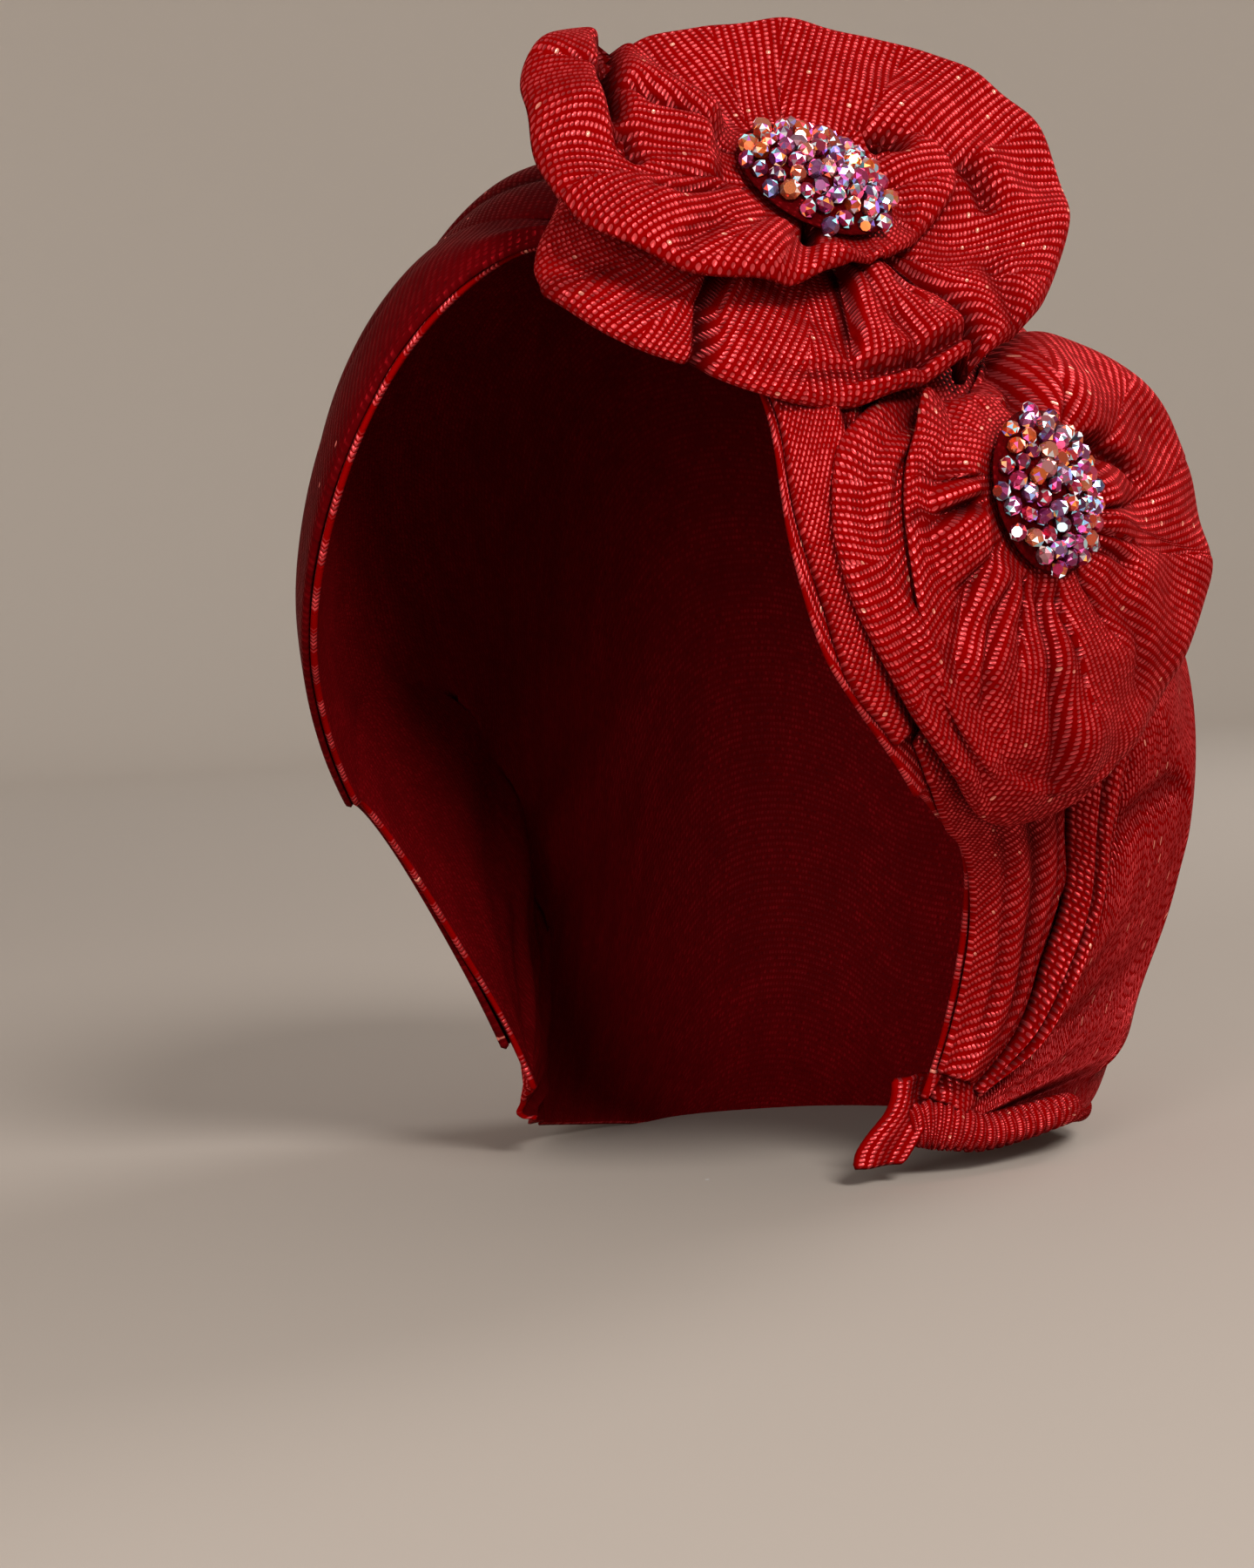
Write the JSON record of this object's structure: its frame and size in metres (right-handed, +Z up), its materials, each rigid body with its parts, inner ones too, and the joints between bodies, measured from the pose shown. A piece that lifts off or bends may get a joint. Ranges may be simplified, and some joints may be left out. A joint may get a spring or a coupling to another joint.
{
  "type": "tied gele head tie",
  "caption": "Turban style head tie of ribbed shimmering cloth, with a gathered bag at the back and two ruffled rosettes with stone hearts.",
  "frame": {"origin": "where the inside of the crown sits on the top of the head", "axes": "+Z up, -Y the way the face looks, +X the wearer's left"},
  "size_m": [0.1832, 0.2083, 0.2384],
  "materials": {
    "ribbed_cloth": "satin",
    "plain_cloth": "satin",
    "cut_stones": "polished"
  },
  "bodies": {
    "root": {"crown_cap": "ribbed_cloth", "front_band": "plain_cloth", "band_fold": "plain_cloth", "temple_fold": "ribbed_cloth", "cheek_panel": "ribbed_cloth", "side_pleat": "ribbed_cloth", "nape_tail": "ribbed_cloth", "nape_roll": "ribbed_cloth", "top_rosette_outer_ruffle": "ribbed_cloth", "top_rosette_inner_ruffle": "ribbed_cloth", "side_rosette_outer_ruffle": "ribbed_cloth", "side_rosette_inner_ruffle": "ribbed_cloth", "top_rosette_beads": "cut_stones", "side_rosette_beads": "cut_stones"}
  },
  "joints": []
}
